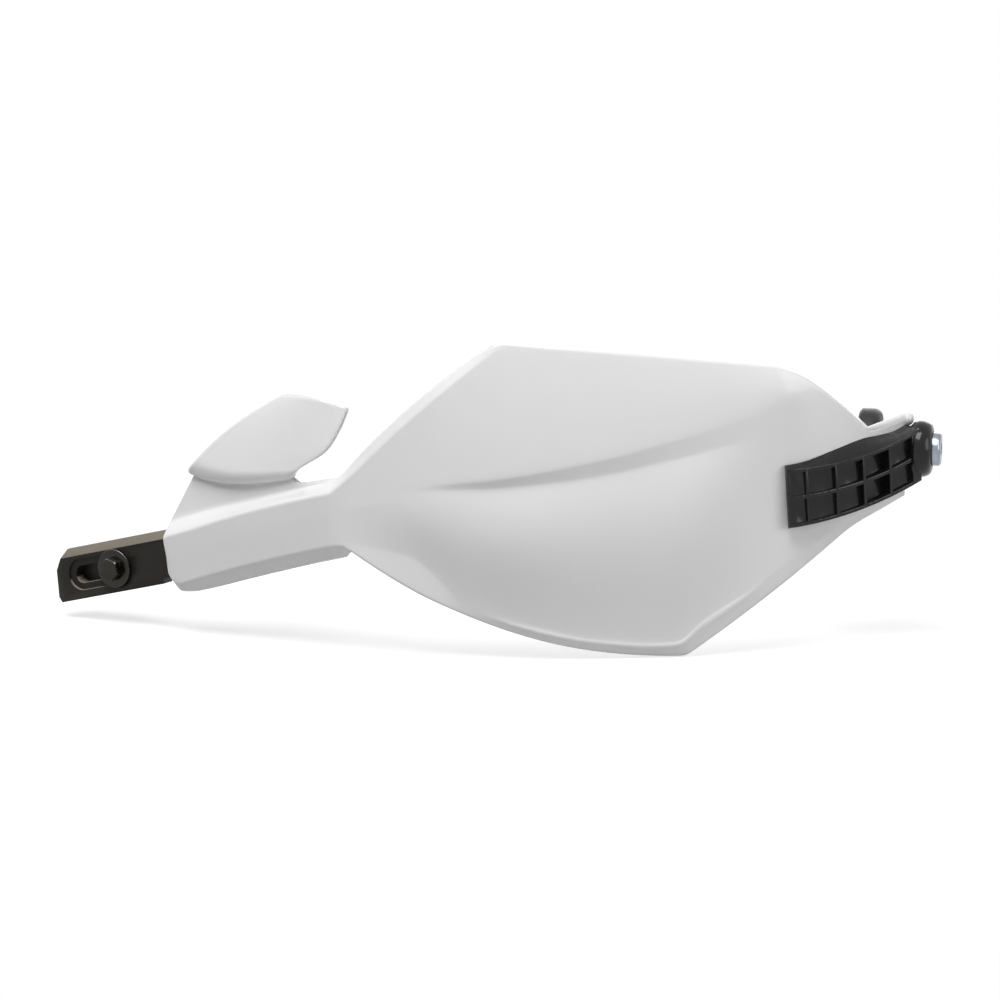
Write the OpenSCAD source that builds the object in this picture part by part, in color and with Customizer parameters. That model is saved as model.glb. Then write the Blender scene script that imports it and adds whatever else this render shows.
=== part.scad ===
// Motorcycle hand guard: a white moulded shield with a small wind deflector, held by a black
// flat bracket at its inner end and by a ribbed black bracket and a long bolt at the bar end.
// X runs outward along the bar-end bolt, Y towards the rider, Z up. The origin is the centre of
// the flange face that bears on the handlebar's end.

/* [Shield] */
// Distance from the bar end to the waist between arm and panel
waist_at = 190; // [184:1:196]
// Distance from the bar end to the panel's top corner
peak_at = 128.5; // [120:0.5:136]
// Distance from the bar end to the panel's lowest corner
keel_at = 60; // [54:1:66]
// Distance from the bar end to the shoulder above the ribbed bracket
shoulder_at = 23; // [21:0.5:25]
// Height of the top corner above the bar axis
peak_up = 47.2; // [44:0.2:52]
// Height of the shoulder above the bar axis
shoulder_up = 36; // [34:0.2:39]
// Depth of the lowest corner below the bar axis
keel_down = 75.6; // [70:0.5:80]
// How far the shield stands forward of the bar axis at its waist
crown = 79.5; // [76:0.5:84]
// Wall thickness of the moulding
wall = 3; // [2.6:0.1:3.4]
// Height of the step along the crease
crease = 3.2; // [2:0.2:4]
// How far the lower edge is set back from the belly
tuck = 6; // [4:0.5:8]

/* [Arm] */
// Length of the arm from its open end to the waist
arm_len = 76; // [70:1:82]
// Height of the arm's front face at the open end
arm_face = 18.5; // [17:0.5:21]
// Slope of the arm in plan, away from the bar axis
arm_swing = 17.65; // [16:0.25:19]
// Rise of the arm towards the panel
arm_rise = 14.2; // [13:0.2:15.4]
// How far the bevel above the front face goes back
bevel_back = 8; // [6:0.5:9]
// How far the lower flange goes back
flange_back = 19; // [17:0.5:22]

/* [Deflector] */
// Height of the deflector's top corner above the bar axis
fin_up = 22.6; // [20:0.2:26]
// How far the deflector leans back at its top
fin_lean = 12; // [9:0.5:14]

/* [Inner bracket] */
// Height of the bracket
bracket_h = 20.8; // [19.4:0.2:22]
// Thickness of the bracket
bracket_t = 6; // [5:0.5:7]
// Height of the part inside the arm
tongue_h = 15.4; // [14:0.2:16]
// Width of the slot
slot_w = 7; // [6.4:0.2:8]
// Distance from the slot bolt to the slot's outer end
slot_reach = 20.7; // [17:0.1:22]
// Width of the recess around the slot
recess_w = 12.6; // [11:0.2:14]
// Thread diameter of the small screws
screw_d = 5; // [4:0.5:5]

/* [Ribbed bracket] */
// Length of the ribbed part along its front
beam_len = 57.8; // [54:0.2:60]
// Height at its free end
beam_h = 22.5; // [21:0.5:24]
// Thickness of ribs and floor
rib_t = 1.2; // [1:0.1:2]

/* [Bar end] */
// Diameter of the flange against the handlebar
flange_d = 30.2; // [28:0.2:31.4]
// Thickness of that flange
flange_t = 8.4; // [7:0.1:8.8]
// Diameter of the spacer barrel and of the shield's hub
hub_d = 18; // [17:0.5:18.5]
// Thread diameter of the bar-end bolt
bolt_d = 8; // [6:1:8]
// Outside diameter of the steel bush
bush_d = 12; // [11:0.5:12.5]
// Outside diameter of the expander, for the bore of the bar
plug_d = 14; // [13:0.5:18]
// Length of the expander sleeve
plug_len = 32; // [26:1:38]
// Gap left around parts that slide into each other
slip = 0.15; // [0.1:0.05:0.3]

/* [Hidden] */
white = "gainsboro";
black = [0.09, 0.09, 0.10];
zinc = "lightsteelblue";
brass = "goldenrod";

// Curves through a few points

// Index of the stretch of p that holds x
function stretch(p, x) = max([0, for (k = [0:len(p) - 2]) if (x >= p[k][0]) k]);
function slope(p, k) = let (a = max(k - 1, 0), b = min(k + 1, len(p) - 1))
    (p[b][1] - p[a][1]) / (p[b][0] - p[a][0]);
// Smooth curve through the points p, each [x, value]; level outside them
function curve(p, x) = let (k = stretch(p, x), w = p[k + 1][0] - p[k][0],
    t = min(max((x - p[k][0]) / w, 0), 1), m0 = slope(p, k) * w, m1 = slope(p, k + 1) * w)
    p[k][1] * (1 + 2 * t) * (1 - t) * (1 - t) + m0 * t * (1 - t) * (1 - t)
    + p[k + 1][1] * t * t * (3 - 2 * t) - m1 * t * t * (1 - t);
// Line from a to b in [x, z] with its middle lifted by bow, straight outside a and b
function bowed(a, b, bow, x) = let (t = (x - a[0]) / (b[0] - a[0]), u = min(max(t, 0), 1))
    a[1] + (b[1] - a[1]) * t + bow * 4 * u * (1 - u);
function fade(x, from, to) = let (t = min(max((x - from) / (to - from), 0), 1))
    t * t * (3 - 2 * t);
// The smaller of a and b, with the corner between them rounded over r
function soft_min(a, b, r) = let (h = max(r - abs(a - b), 0) / r) min(a, b) - h * h * r / 4;
function soft_max(a, b, r) = -soft_min(-a, -b, r);

// Plan of the front surface

straight_from = -waist_at - 5;
plan = [[straight_from, -crown + 1.5], [-175, -crown - 0.9], [-150, -crown - 1.2],
    [-110, -crown + 5], [-70, -61.5], [-45, -52.5], [-23.8, -42.9], [-16.4, -37.9],
    [-6.9, -30.9], [2, -22.8], [9.6, -13.8], [16.1, -4.6], [19, -0.4]];
// The arm runs straight, and the plan bends smoothly into the panel
function plan_y(x) = x < straight_from
    ? plan[0][1] + (straight_from - x) * tan(arm_swing)
    : curve([each [[straight_from - 20, plan[0][1] + 20 * tan(arm_swing)]], each plan], x);

// Outline of the shield, seen from the front

arm_end = -waist_at - arm_len;
tab_end = 17.8;
waist_low = [-waist_at + 2, -32.6];
peak = [-peak_at, peak_up];
shoulder = [-shoulder_at, shoulder_up];
keel = [-keel_at, -keel_down];
tab_top = [4.5, 10.8];
tab_low = [0, -27];
face_mid = -44.1;
function arm_low(x) = bowed([arm_end, face_mid - arm_face / 2 - 3.4],
    [-waist_at, waist_low[1] + 0.5], 1.2, x);
function arm_high(x) = bowed([arm_end, face_mid + arm_face / 2 - 1.6], [-waist_at, -11], 1.7, x);
function rise(x) = bowed([-waist_at, -5.6], peak, 3.4, x);
function ridge(x) = bowed(peak, shoulder, 0.6, x);
function fall(x) = bowed(shoulder, tab_top, 2, x);
function tab_rim(x) = tab_top[1] + (x - tab_top[0]) * 0.25;
function belly(x) = bowed(waist_low, keel, -11.2, x);
function heel(x) = bowed(keel, tab_low, -1.4, x);
function tab_under(x) = tab_low[1] + (x - tab_low[0]) * 0.47;
// The open end of the arm has a round lower corner
corner_r = 7;
function corner(x) = let (s = min(x - arm_end, corner_r))
    corner_r - sqrt(corner_r * corner_r - (corner_r - s) * (corner_r - s));
// Its upper corner reaches further out towards the bracket
skew_list = [[-9, 0], [0, -0.5], [7.6, -1.6], [12.6, -0.8]];
function skew(x, z) = (1 - fade(x, arm_end, arm_end + 14)) * curve(skew_list, z - face_mid);
function z_low(x) = x < waist_low[0] ? min(arm_low(x) + corner(x), waist_low[1])
    : x < -20 ? soft_max(belly(x), heel(x), 2.5) : soft_min(heel(x), tab_under(x), 2);
function z_high(x) = x < -waist_at + 1 ? max(arm_high(x) + rim_w(x), rise(x))
    : soft_max(soft_min(soft_min(rise(x), ridge(x), 2), fall(x), 5), tab_rim(x) - 2, 1.5);

// Feature lines across the panel, as heights

rim_list = [[-266, 5], [-228, 3.6], [-206, 2.6], [-190, 3.6], [-180, 5.2], [-150, 4.8],
    [-130, 3], [-110, 1.6], [20, 1.4]];
function rim_w(x) = curve(rim_list, x);
ledge_list = [[-190, 0.8], [-178, 7], [-160, 13], [-152, 10], [-142, 5], [-112, 4.8],
    [-90, 5], [-64, 5.8], [-55, 9], [-37, 7.8], [-20, 7], [0, 4], [18, 2]];
function z_ledge(x) = z_low(x) + curve(ledge_list, x);
crease_list = [[-266, -42], [-228, -31], [-190, -20], [-165, -12], [-153, -9.4],
    [-127, -7.8], [-90, -3.4], [-54, 4.6], [-36, 9.8], [-22, 14.5], [-10, 10], [4, 1], [18, 1]];
function z_crease(x) = curve(crease_list, x);
step_list = [[-266, 2.5], [-153, 2], [-127, 3.2], [-90, 5.2], [-54, 6], [-22, 7], [-8, 4],
    [18, 3]];
function z_step(x) = z_crease(x) + curve(step_list, x);
strip_list = [[-266, 3], [-150, 2.5], [-127, 3], [-104, 5], [-79, 8], [-54, 11.5], [-25, 17],
    [-8, 16], [4, 6], [18, 5]];
function z_strip(x) = z_crease(x) - curve(strip_list, x);

// How far each line stands proud of the plan, towards the front

function crease_on(x) = fade(x, -162, -120) * (1 - fade(x, -36, -14));
function belly_on(x) = fade(x, -190, -130) * (1 - fade(x, -62, -27));
edge_on = [[-190, 0], [-178, 0], [-160, 0.1], [-142, 0.6], [-110, 0.8], [-60, 0.8],
    [-20, 0.5], [0, 0], [18, 0]];
ledge_on = [[-190, 0], [-178, 0.35], [-160, 0.75], [-142, 0.95], [-110, 1], [-60, 1],
    [-24, 0.5], [-4, 0], [18, 0]];
function rim_back(x) = x > 0 ? 0 : bevel_back * (1 - fade(x, -196, -176))
    + 3.2 * fade(x, -196, -176) * (1 - 0.5 * fade(x, -140, -110)) * (1 - fade(x, -20, 0));
function proud_low(x) = -tuck * max(curve(edge_on, x), 0);
function proud_ledge(x) = -tuck * max(curve(ledge_on, x), 0);
function proud_strip(x) = 2.2 * belly_on(x);
function proud_crease(x) = -0.3 * crease * crease_on(x);
function proud_step(x) = 0.9 * crease * crease_on(x);
function proud_rim(x) = -1.2 * fade(x, -150, -110) * (1 - fade(x, -30, -5));

function lerp(a, b, t) = a + (b - a) * t;
// Points of one upright section at x, from the lower edge to the top, as [height, proud]
function section(x) = let (zl = z_ledge(x), zs = z_strip(x), zu = z_step(x),
    zr = z_high(x) - rim_w(x), bulge = 3.4 * belly_on(x), lean = 1.6 * crease_on(x))
    [[z_low(x), proud_low(x)],
    [zl, proud_ledge(x)],
    for (t = [0.25, 0.5, 0.75]) [lerp(zl, zs, t),
        lerp(proud_ledge(x), proud_strip(x), t) + bulge * 4 * t * (1 - t)],
    [zs, proud_strip(x)],
    [z_crease(x), proud_crease(x)],
    [zu, proud_step(x)],
    for (t = [0.25, 0.5, 0.75]) [lerp(zu, zr, t),
        lerp(proud_step(x), proud_rim(x), t) + lean * 4 * t * (1 - t)],
    [zr, proud_rim(x)],
    [z_high(x), proud_rim(x) - rim_back(x)]];
// Sections stand closer together where the outline turns
stations = [for (x = [arm_end, arm_end + 0.6, arm_end + 2, arm_end + 4]) x,
    for (k = [1:9]) lerp(arm_end + 7, -waist_at - 5, (k - 1) / 8),
    -waist_at - 1.5, -waist_at + 1, -waist_at + 2.2,
    for (k = [1:12]) lerp(-waist_at + 2.2, -peak_at - 2, k / 12),
    -peak_at, -peak_at + 2,
    for (k = [1:12]) lerp(-peak_at + 2, -keel_at - 2, k / 12),
    -keel_at, -keel_at + 2,
    for (k = [1:7]) lerp(-keel_at + 2, -shoulder_at - 4, k / 7),
    -shoulder_at - 1, -shoulder_at + 2, -18.5, -15.5, -12.4, -9.5, -6.9, -4, -1, 2, 4.5, 7, 9.6,
    12, 14, 16.1, tab_end];

// Solids made from grids of points

// Sheet of thickness t behind the grid g; g[i][j] runs along +X with i and up with j
module sheet(g, t) {
    n = len(g) - 1;
    m = len(g[0]) - 1;
    // Thickness along Y that keeps the wall even where the sheet is turned away
    depth = [for (i = [0:n]) [for (j = [0:m]) let (
        a = g[min(i + 1, n)][j] - g[max(i - 1, 0)][j],
        b = g[i][min(j + 1, m)] - g[i][max(j - 1, 0)],
        c = cross(a, b)) t * min(norm(c) / abs(c[1]), 1.5)]];
    rear = [for (i = [0:n]) [for (j = [0:m]) g[i][j] + [0, depth[i][j], 0]]];
    points = [for (row = g) each row, for (row = rear) each row];
    s = (n + 1) * (m + 1);
    function at(i, j) = i * (m + 1) + j;
    faces = [
        for (i = [0:n - 1], j = [0:m - 1]) each [
            [at(i, j), at(i, j + 1), at(i + 1, j + 1)],
            [at(i, j), at(i + 1, j + 1), at(i + 1, j)],
            [s + at(i, j), s + at(i + 1, j + 1), s + at(i, j + 1)],
            [s + at(i, j), s + at(i + 1, j), s + at(i + 1, j + 1)]],
        for (i = [0:n - 1]) each [
            [at(i, 0), at(i + 1, 0), s + at(i + 1, 0), s + at(i, 0)],
            [at(i + 1, m), at(i, m), s + at(i, m), s + at(i + 1, m)]],
        for (j = [0:m - 1]) each [
            [at(0, j + 1), at(0, j), s + at(0, j), s + at(0, j + 1)],
            [at(n, j), at(n, j + 1), s + at(n, j + 1), s + at(n, j)]]];
    polyhedron(points, faces);
}

// Solid through rings of points, each ring counter-clockwise as seen from +X
module skin(rings) {
    n = len(rings) - 1;
    m = len(rings[0]);
    faces = [
        [for (k = [0:m - 1]) k],
        [for (k = [m - 1:-1:0]) n * m + k],
        for (i = [0:n - 1], k = [0:m - 1]) let (l = (k + 1) % m) each [
            [i * m + l, i * m + k, (i + 1) * m + k],
            [i * m + l, (i + 1) * m + k, (i + 1) * m + l]]];
    polyhedron([for (ring = rings) each ring], faces);
}

// Ring of points about c, for a round bar
function ring_at(c, r) = [for (k = [0:11]) c + r * [0, sin(k * 30), -cos(k * 30)]];

// Frames

// Slot bolt's axis on the arm's front plane, with X along the arm and Y to the rear
slot_at = arm_end - 29.2;
slot_up = face_mid - 8.85;
module on_arm() {
    translate([slot_at, plan_y(slot_at), slot_up])
        rotate([0, 0, -arm_swing])
            rotate([0, -arm_rise, 0])
                children();
}
// Turns a cylinder drawn along +Z to point rearward
module rearward() {
    rotate([-90, 0, 0])
        children();
}
// Bar axis: turns a shape drawn about Z to lie about X
module on_bar() {
    rotate([0, 90, 0])
        children();
}

bracket_set = 7.5;
bracket_rear = bracket_set + bracket_t;
insert_len = 5.5;
insert_d = screw_d + 2;
arm_screws = [44, 70];
washer_t = 1.2;
boss_d = insert_d + 4;

// Screws that hold the shield's tab to the ribbed bracket
tab_heights = [-8, -19];
tab_turn = 38.5;
pad = 1.6;
tab_screw_d = 4;
tab_boss_d = 8;
module on_tab(k) {
    translate([tab_x, plan_y(tab_x), tab_heights[k]])
        rotate([0, 0, tab_turn])
            rearward()
                children();
}
tab_seat = wall + pad;

// Shield

upper_back = bevel_back + 0.3;
// Height of the plate's top edge: level behind the deflector, lower along the notch
notch_list = [[-260, -8.5], [-213, -8.5], [-208.5, -10.8], [-204, -10.2], [-197, -8.6],
    [-191, -7.6]];
flange_list = [[arm_end + 2.3, 2.2], [arm_end + 4.5, 3.4], [arm_end + 13, 5.7],
    [arm_end + 36, 6.4], [-waist_at + 2, 6]];
seed_ring = [[1, 1.2], [1.6, 0.8], [2.2, 0.8], [2.4, 1.4], [2.2, 2], [1.4, 2]];
module arm_flange() {
    xs = [arm_end + 4.5, for (k = [0:12]) lerp(arm_end + 6.7, -waist_at + 2, k / 12)];
    // Both ends shrink to a small ring inside the wall, so that they grow out of it
    function seed(x) = [for (q = seed_ring) [x, plan_y(x) + q[0], z_low(x) + q[1]]];
    skin([seed(arm_end + 1.8),
        for (x = xs) let (z = min(arm_low(x) + corner(x), -31.5 + (x + waist_at) * 0.14),
            y = plan_y(x), d = curve(flange_list, x))
            [[x, y + 0.9 + 0.4 * max(x + waist_at, 0), z + 0.7], [x, y + 5, z - d],
            [x, y + flange_back, z - d + 0.8], [x, y + flange_back, z - d + 2.8],
            [x, y + 6.4, z - d + 2.3], [x, y + 2.2, z + 1.6]],
        seed(-waist_at + 3.2)]);
}
module upper_plate() {
    cols = 14;
    g = [for (i = [0:cols]) let (s = i / cols, x0 = lerp(arm_end - 1.4, -waist_at - 1, s),
        x1 = lerp(arm_end + 11.3, -waist_at - 1, s), z0 = arm_high(x0) + rim_w(x0) - 1.5)
        [for (t = [0, 0.5, 1]) let (x = lerp(x0, x1, t))
            [x, plan_y(x) + upper_back, lerp(z0, curve(notch_list, x1), t)]]];
    sheet(g, wall);
}
fin_tip = [-259.8, -11.2];
fin_top = [-217.2, fin_up - 0.4];
fin_end = [-189, fin_up - 3.4];
fin_foot = [-211.5, -9.8];
fin_bulge = [[0, 0], [0.14, -0.6], [0.4, 4.8], [0.7, 3.8], [1, 0.4]];
// Height and reach of the deflector at s along it and t up it
function fin_low(s) = [lerp(fin_tip[0], fin_foot[0], s), lerp(fin_tip[1], fin_foot[1], s)
    - 3.2 * sin(180 * pow(s, 0.8))];
function fin_high(s) = [lerp(fin_top[0], fin_end[0], s), lerp(fin_top[1], fin_end[1], s)
    + 1.6 * sin(180 * s)];
function fin_left(t) = [lerp(fin_tip[0], fin_top[0], t) - 2.2 * sin(180 * t),
    lerp(fin_tip[1], fin_top[1], t) + 1.6 * sin(180 * t)];
function fin_right(t) = [lerp(fin_foot[0], fin_end[0], t) + curve(fin_bulge, t),
    lerp(fin_foot[1], fin_end[1], t)];
function fin_xz(s, t) = lerp(fin_low(s), fin_high(s), t) + lerp(fin_left(t), fin_right(t), s)
    - lerp(lerp(fin_tip, fin_foot, s), lerp(fin_top, fin_end, s), t);
function fin_at(s, t) = let (q = fin_xz(s, t))
    [q[0], plan_y(q[0]) + lerp(5, fin_lean, t) - 1.5 * sin(180 * s) + fin_curl(t), q[1]];
// Its lower edge rolls back against the plate
function fin_curl(t) = 4.2 * pow(max(1 - t / 0.12, 0), 2);
fin_rows = [0, 0.025, 0.06, 0.12, 0.25, 0.4, 0.55, 0.7, 0.85, 1];
module deflector() {
    sheet([for (i = [0:14]) [for (t = fin_rows) fin_at(i / 14, t)]], wall);
}
// Rolled rim along the top of the tab, with room around it where another part has to clear it
module tab_roll(room = 0) {
    from = 4.6;
    to = 18;
    full = 2.8;
    function r(x) = lerp(0.9, full, min((x - from) / 8, 1));
    function middle(x) = [x, plan_y(x) + 1.05 * r(x), tab_rim(x) - r(x)];
    skin([for (k = [0:7]) let (x = lerp(from, to, k / 7)) ring_at(middle(x), r(x) + room),
        for (a = [30, 55, 78])
            ring_at(middle(to) + (full + room) * [sin(a), 0, 0], (full + room) * cos(a))]);
}
hub_from = 9;
hub_to = 18;
module hand_shield() {
    color(white) difference() {
        union() {
            sheet([for (x = stations) [for (q = section(x))
                [x + skew(x, q[0]), plan_y(x) - q[1], q[0]]]], wall);
            arm_flange();
            upper_plate();
            deflector();
            tab_roll();
            translate([hub_from, 0, 0]) on_bar()
                cylinder(h = hub_to - hub_from, d = hub_d, $fn = 64);
            on_arm() for (x = arm_screws) translate([x, wall * 0.7, 0]) rearward()
                cylinder(h = bracket_set - wall * 0.7, d = boss_d, $fn = 48);
            for (k = [0, 1]) on_tab(k) translate([0, 0, wall * 0.5])
                cylinder(h = tab_seat - wall * 0.5, d = 14, $fn = 48);
        }
        on_arm() for (x = arm_screws) translate([x, bracket_set - insert_len, 0]) rearward()
            cylinder(h = insert_len + 1, d = insert_d, $fn = 48);
        for (k = [0, 1]) on_tab(k) translate([0, 0, -4])
            cylinder(h = 20, d = tab_boss_d + 2 * slip, $fn = 48);
        for (k = [0, 1]) on_tab(k) translate([0, 0, tab_seat])
            cylinder(h = 8, d = 16, $fn = 48);
        translate([-1, 0, 0]) on_bar()
            cylinder(h = 30, d = bush_d + 2 * slip, $fn = 64);
        on_bar() cylinder(h = hub_from, d = hub_d + 1, $fn = 64);
    }
}

// Inner bracket

module stadium(from, to, d, y, h) {
    for (x = [from, to]) translate([x, y, 0]) rearward() cylinder(h = h, d = d, $fn = 48);
    translate([from, y, -d / 2]) cube([to - from, h, d]);
}
low_from = 22;
high_from = 28.5;
tongue_to = 84;
slot_end = -0.9;
low = -9.7;
module bracket_outline() {
    top = low + bracket_h;
    polygon([[-29.3, 3.5], [-31, -7.4], [-30, low], [low_from, low],
        [low_from, -tongue_h / 2], [tongue_to - 4, -tongue_h / 2], [tongue_to, -tongue_h / 4],
        [tongue_to, tongue_h / 4], [tongue_to - 4, tongue_h / 2], [high_from, tongue_h / 2],
        [high_from, top], [-24, top]]);
}
module inner_bracket() {
    chamfer = 3.2;
    color(black) on_arm() difference() {
        translate([0, bracket_rear, 0]) rotate([90, 0, 0])
            linear_extrude(height = bracket_t) bracket_outline();
        translate([-40, bracket_set, low + bracket_h - chamfer]) rotate([45, 0, 0])
            translate([0, -2, 0]) cube([70, chamfer * 1.5 + 3, chamfer * 2]);
        stadium(-slot_reach + slot_w / 2, slot_end, slot_w, bracket_set - 1, bracket_t + 2);
        stadium(-slot_reach + slot_w / 2, slot_end + 2.1, recess_w, bracket_set - 1, 2);
        for (x = arm_screws) translate([x, bracket_set - 1, 0]) rearward()
            cylinder(h = bracket_t + 2, d = screw_d + 0.5, $fn = 48);
    }
}

// Fasteners; each is drawn along Z, its head seat at 0 and its head on the +Z side

module ring(outer, inner, h) {
    difference() {
        cylinder(h = h, d = outer, $fn = 64);
        translate([0, 0, -1]) cylinder(h = h + 2, d = inner, $fn = 48);
    }
}
module hex(flats, h) {
    cylinder(h = h, d = flats / cos(30), $fn = 6);
}
module hex_bolt(d, len, flats, head) {
    intersection() {
        rotate(30) hex(flats, head);
        cylinder(h = head, r1 = flats, r2 = flats / 2 * 1.06, $fn = 48);
    }
    translate([0, 0, -len]) cylinder(h = len + 0.5, d = d, $fn = 48);
}
module cap_screw(d, len, head_d, head, socket) {
    difference() {
        cylinder(h = head, d = head_d, $fn = 64);
        translate([0, 0, head * 0.45]) hex(socket, head);
    }
    translate([0, 0, -len]) cylinder(h = len + 0.5, d = d, $fn = 48);
}

recess_at = bracket_set + 1;
m5_flats = 8;
module slot_bolt() {
    color(zinc) on_arm() translate([0, recess_at - 1 - washer_t, 0]) rotate([90, 0, 0])
        hex_bolt(screw_d, bracket_t + washer_t + plate_t + 1.5, m5_flats, 3.5);
}
module slot_washer_front() {
    color(zinc) on_arm() translate([0, bracket_set - washer_t, 0]) rearward()
        ring(15.5, screw_d + 0.3, washer_t);
}
// Clamp plate seen dark through the slot
plate_t = 5;
plate_from = -22.5;
plate_len = 33;
plate_h = 15;
nut_t = 4;
module slot_plate() {
    color(black) on_arm() difference() {
        translate([plate_from, bracket_rear, -plate_h / 2]) cube([plate_len, plate_t, plate_h]);
        translate([0, bracket_rear - 1, 0]) rearward()
            cylinder(h = plate_t + 2, d = screw_d + 0.3, $fn = 48);
        translate([0, bracket_rear + plate_t - nut_t, 0]) rearward()
            hex(m5_flats + 2 * slip, nut_t + 1);
    }
}
module slot_nut() {
    color(zinc) on_arm() translate([0, bracket_rear + plate_t - nut_t, 0]) rearward() difference() {
        hex(m5_flats, nut_t);
        translate([0, 0, -1]) cylinder(h = 7, d = screw_d + 0.04, $fn = 48);
    }
}
module arm_insert(k) {
    color(brass) on_arm() translate([arm_screws[k], bracket_set - insert_len, 0]) rearward()
        difference() {
            cylinder(h = insert_len, d = insert_d, $fn = 48);
            translate([0, 0, 0.6]) cylinder(h = insert_len, d = screw_d + 0.04, $fn = 48);
        }
}
module bracket_washer(k) {
    color(zinc) on_arm() translate([arm_screws[k], bracket_rear, 0]) rearward()
        ring(screw_d * 2.2, screw_d + 0.3, washer_t);
}
module bracket_screw(k) {
    color(zinc) on_arm() translate([arm_screws[k], bracket_rear + washer_t, 0]) rearward()
        cap_screw(screw_d, washer_t + bracket_t + insert_len - 1, screw_d * 1.8, 3, 3);
}

// Ribbed bracket

turn_from = 28;
turn_to = 49;
rib_lean = 0.08;
arc_r = beam_len / ((turn_to - turn_from) * PI / 180);
// The outer end stays at the boss, so a longer bracket reaches further in
beam_end = [22.382, -9.22];
beam_start = beam_end - arc_r * [sin(turn_to) - sin(turn_from), cos(turn_from) - cos(turn_to)];
tab_x = beam_start[0] + 8.1;
function heading(s) = lerp(turn_from, turn_to, s / beam_len);
// Front line of the ribbed bracket in plan at s along it
function beam_xy(s) = beam_start + arc_r * [sin(heading(s)) - sin(turn_from),
    cos(turn_from) - cos(heading(s))];
function inward(s) = [-sin(heading(s)), cos(heading(s))];
function top_lip(s) = -25.1 + beam_h + 10.4 * pow(s / beam_len, 2);
function low_lip(s) = -25.1 + 12.6 * pow(max(s, 0) / beam_len, 1.5);
rise_list = [[0, 1.2], [9.2, 2], [23.3, 4.4], [35.7, 5.1], [45.4, 3.3], [52.5, 1.6], [57, 1],
    [61, 0.6]];
function top_rise(s) = curve(rise_list, s);
// Point at height z and depth q behind the front line; the ends and ribs lean a little
function leaned(s, z) = s - rib_lean * (z - (low_lip(s) + top_lip(s)) / 2);
function beam_point(s, q, z) = let (u = leaned(s, z), p = beam_xy(u) + inward(u) * q)
    [p[0], p[1], z];
// Point at height z where the bracket meets the shield
function back_point(s, z) = beam_point(s, back_depth(leaned(s, z)), z);
// Where the bracket's back meets the shield, found on the shield's own plan
function gap_to(s, q) = let (p = beam_xy(s) + inward(s) * q) plan_y(p[0]) - 0.1 - p[1];
function back_depth(s, a = 0, b = 16, n = 0) = n > 18 ? a
    : gap_to(s, (a + b) / 2) > 0 ? back_depth(s, (a + b) / 2, b, n + 1)
    : back_depth(s, a, (a + b) / 2, n + 1);
beam_steps = [for (k = [0:30]) lerp(0.6, beam_len + 3.2, k / 30)];
module beam_body() {
    skin([for (s = beam_steps) [
        beam_point(s, 0, low_lip(s)),
        back_point(s, low_lip(s) - 0.8),
        back_point(s, top_lip(s) + top_rise(s)),
        beam_point(s, 0, top_lip(s))]]);
}
inner_cell = 9;
rib_pitch = (beam_len - inner_cell) / 4;
rib_at = [for (k = [0:4]) beam_len - (4 - k) * rib_pitch + (k == 0 ? -0.4 : 0)];
cell_from = [1.8, for (k = [0:3]) rib_at[k] + rib_t / 2];
cell_to = [for (k = [0:3]) rib_at[k] - rib_t / 2, beam_len - 1.2];
floor_t = 2;
// One open cell: k counts along the bracket, and upper is 1 for the upper row
module cell(k, upper) {
    ends = [cell_from[k], (cell_from[k] + cell_to[k]) / 2, cell_to[k]];
    skin([for (s = ends) let (
        mid = (low_lip(s) + top_lip(s)) / 2,
        d = k == 4 ? 2.2 : min(back_depth(s) - floor_t, 7.5),
        a = upper == 1 ? mid + rib_t / 2 : low_lip(s) + rib_t,
        b = upper == 1 ? top_lip(s) - rib_t : mid - rib_t / 2)
        [beam_point(s, -1, a), beam_point(s, d, a + 0.3), beam_point(s, d, b - 0.3),
        beam_point(s, -1, b)]]);
}
boss_from = 18;
boss_to = 28.4;
head_sink = 1.7;
module end_boss() {
    translate([boss_from, 0, 0]) on_bar() rotate_extrude($fn = 96)
        polygon([[0, 0], [8.6, 0], [8.6, 1.2], [9.2, 2.2], [10.2, 2.9], [10.9, 3.8], [11.2, 5.2],
            for (a = [10:16:90]) [8.4 + 2.8 * cos(a), 5.6 + 4.7 * sin(a)],
            [8.4, boss_to - boss_from], [0, boss_to - boss_from]]);
}
module end_bracket() {
    color(black) difference() {
        union() {
            difference() {
                beam_body();
                for (k = [0:4], u = [0, 1]) cell(k, u);
                translate([-5, 0, 0]) on_bar()
                    cylinder(h = boss_from + 5, d = hub_d + 2 * slip, $fn = 64);
            }
            end_boss();
            for (k = [0, 1]) on_tab(k) translate([0, 0, -1.6])
                cylinder(h = tab_seat + 1.3, d = tab_boss_d, $fn = 48);
        }
        translate([-5, 0, 0]) on_bar() cylinder(h = 40, d = bush_d + 2 * slip, $fn = 64);
        translate([boss_to - head_sink - washer_t, 0, 0]) on_bar()
            cylinder(h = 10, d = head_d + 1.4, $fn = 64);
        for (k = [0, 1]) on_tab(k) translate([0, 0, tab_seat - 0.3 - 5])
            cylinder(h = 8, d = tab_screw_d + 0.04, $fn = 48);
        tab_roll(slip);
    }
}

// Bar end

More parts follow.
